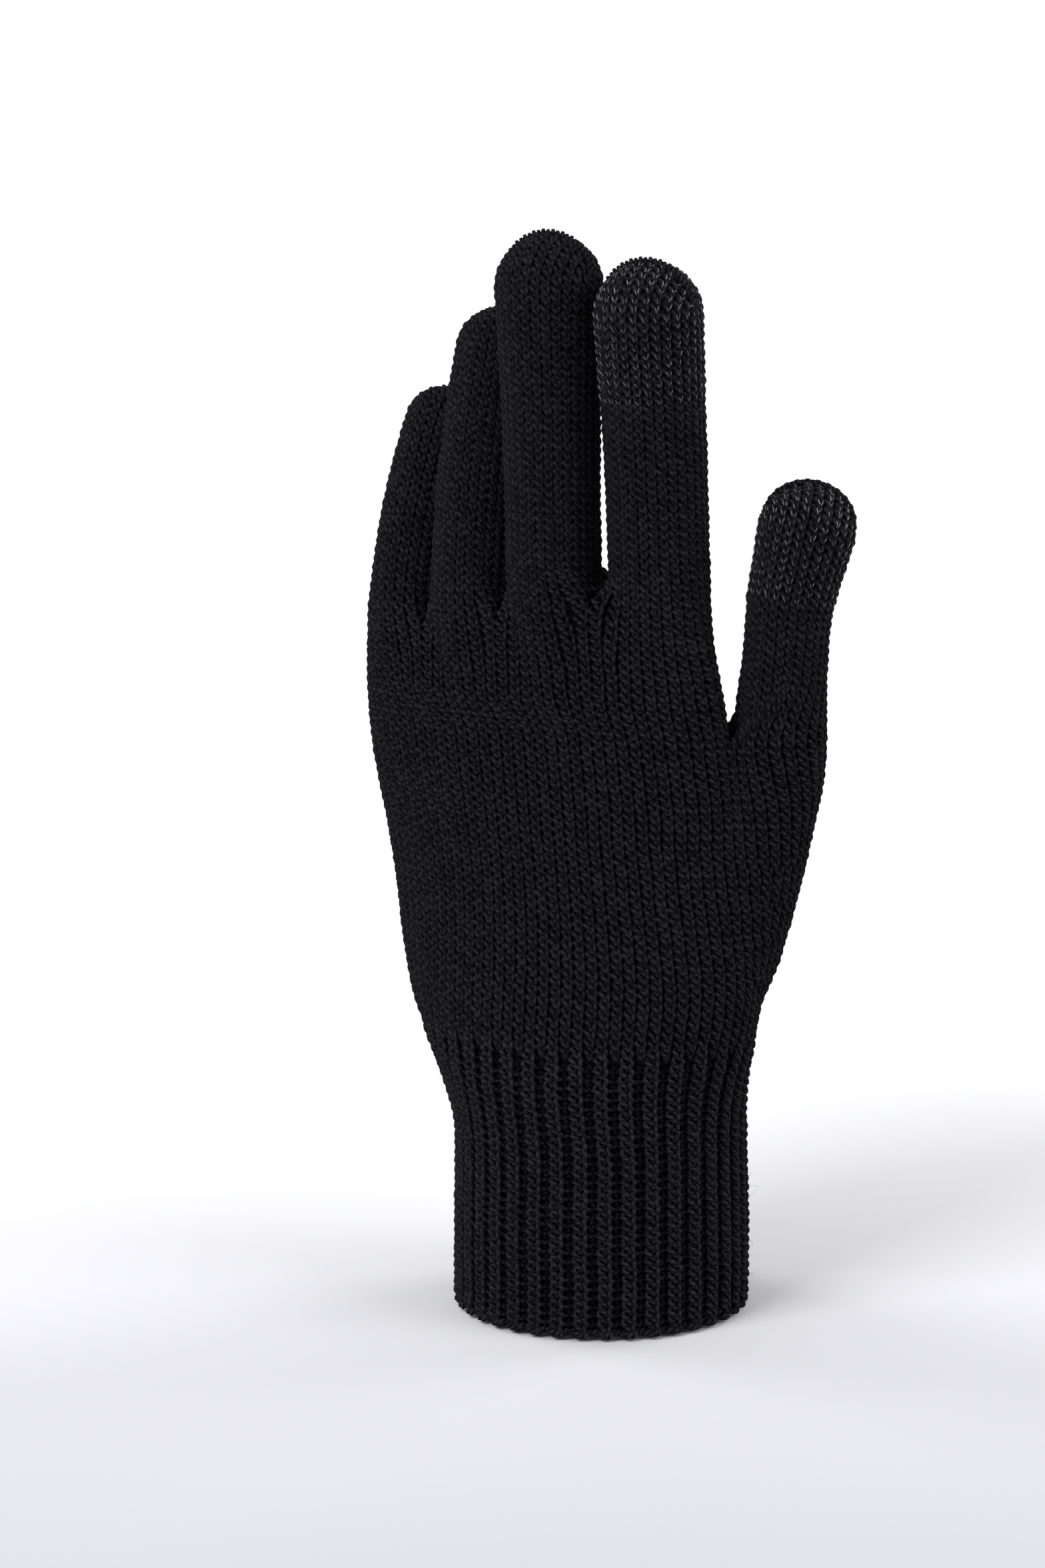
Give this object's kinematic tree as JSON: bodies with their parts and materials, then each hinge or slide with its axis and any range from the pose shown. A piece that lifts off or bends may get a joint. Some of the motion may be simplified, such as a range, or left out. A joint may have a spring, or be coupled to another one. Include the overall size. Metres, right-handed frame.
{
  "type": "touchscreen glove",
  "caption": "Knitted stretch glove with a ribbed cuff, finger tubes that bend at their joints, and conductive silver-knit tips on thumb and index finger.",
  "frame": {"origin": "centre of the cuff opening, in the plane of the hem edge", "axes": "+Z from the cuff to the fingertips, +X to the thumb side, +Y to the palm side, so the back of the hand faces -Y"},
  "size_m": [0.1135, 0.065, 0.2378],
  "materials": {
    "black_yarn": "matte knitted acrylic yarn, stockinette",
    "rib_yarn": "matte knitted acrylic yarn, one by one rib",
    "conductive_knit": "matte knitted acrylic yarn that carries the silver filament",
    "silver_filament": "fine silver-plated filament, glinting",
    "elastic_thread": "covered elastic thread"
  },
  "bodies": {
    "cuff": {"cuff_hem": "rib_yarn", "cuff_rib": "rib_yarn", "cuff_elastic": "elastic_thread"},
    "hand": {"hand_tube": "black_yarn", "finger_webs": "black_yarn"},
    "index_base": {"index_base": "black_yarn"},
    "index_mid": {"index_mid": "black_yarn"},
    "index_end": {"index_touch_tip": "conductive_knit", "index_binding": "black_yarn", "index_silver_yarn": "silver_filament"},
    "middle_base": {"middle_base": "black_yarn"},
    "middle_mid": {"middle_mid": "black_yarn"},
    "middle_end": {"middle_tip": "black_yarn", "middle_binding": "black_yarn"},
    "ring_base": {"ring_base": "black_yarn"},
    "ring_mid": {"ring_mid": "black_yarn"},
    "ring_end": {"ring_tip": "black_yarn", "ring_binding": "black_yarn"},
    "little_base": {"little_base": "black_yarn"},
    "little_mid": {"little_mid": "black_yarn"},
    "little_end": {"little_tip": "black_yarn", "little_binding": "black_yarn"},
    "thumb_base": {"thumb_base": "black_yarn"},
    "thumb_end": {"thumb_touch_tip": "conductive_knit", "thumb_silver_yarn": "silver_filament", "thumb_binding": "black_yarn"}
  },
  "joints": [
    {"name": "wrist_bend", "type": "hinge", "parent": "cuff", "child": "hand", "pos_m": [0, 0, 0.063], "axis": [-1, 0, 0], "range_deg": [-45, 45]},
    {"name": "index_root_bend", "type": "hinge", "parent": "hand", "child": "index_base", "pos_m": [0.0122, 0.00408, 0.16548], "axis": [-1, 0, 0], "range_deg": [-10, 60]},
    {"name": "index_mid_bend", "type": "hinge", "parent": "index_base", "child": "index_mid", "pos_m": [0.0122, 0.00276, 0.18444], "axis": [-1, 0, 0], "range_deg": [0, 80]},
    {"name": "index_end_bend", "type": "hinge", "parent": "index_mid", "child": "index_end", "pos_m": [0.0122, 0.00056, 0.20532], "axis": [-1, 0, 0], "range_deg": [0, 45]},
    {"name": "middle_root_bend", "type": "hinge", "parent": "hand", "child": "middle_base", "pos_m": [-0.0118, -0.00021, 0.1655], "axis": [-1, 0, 0], "range_deg": [-10, 60]},
    {"name": "middle_mid_bend", "type": "hinge", "parent": "middle_base", "child": "middle_mid", "pos_m": [-0.0118, -0.00098, 0.18748], "axis": [-1, 0, 0], "range_deg": [0, 80]},
    {"name": "middle_end_bend", "type": "hinge", "parent": "middle_mid", "child": "middle_end", "pos_m": [-0.0118, -0.00181, 0.21147], "axis": [-1, 0, 0], "range_deg": [0, 45]},
    {"name": "ring_root_bend", "type": "hinge", "parent": "hand", "child": "ring_base", "pos_m": [-0.0335, 0.00163, 0.16097], "axis": [-1, 0, 0], "range_deg": [-10, 52]},
    {"name": "ring_mid_bend", "type": "hinge", "parent": "ring_base", "child": "ring_mid", "pos_m": [-0.0335, 0.00361, 0.17986], "axis": [-1, 0, 0], "range_deg": [0, 68]},
    {"name": "ring_end_bend", "type": "hinge", "parent": "ring_mid", "child": "ring_end", "pos_m": [-0.0335, 0.00789, 0.19838], "axis": [-1, 0, 0], "range_deg": [0, 38]},
    {"name": "little_root_bend", "type": "hinge", "parent": "hand", "child": "little_base", "pos_m": [-0.0535, 0.00675, 0.15687], "axis": [-1, 0, 0], "range_deg": [-10, 45]},
    {"name": "little_mid_bend", "type": "hinge", "parent": "little_base", "child": "little_mid", "pos_m": [-0.053, 0.00976, 0.17104], "axis": [-1, 0, 0], "range_deg": [0, 55]},
    {"name": "little_end_bend", "type": "hinge", "parent": "little_mid", "child": "little_end", "pos_m": [-0.05253, 0.01496, 0.18457], "axis": [-1, 0, 0], "range_deg": [0, 32]},
    {"name": "thumb_root_bend", "type": "hinge", "parent": "hand", "child": "thumb_base", "pos_m": [0.03689, 0.01495, 0.13948], "axis": [0.866, 0.5, 0], "range_deg": [-40, 12]},
    {"name": "thumb_end_bend", "type": "hinge", "parent": "thumb_base", "child": "thumb_end", "pos_m": [0.03803, 0.01561, 0.15844], "axis": [0.866, 0.5, 0], "range_deg": [-60, 12]}
  ]
}
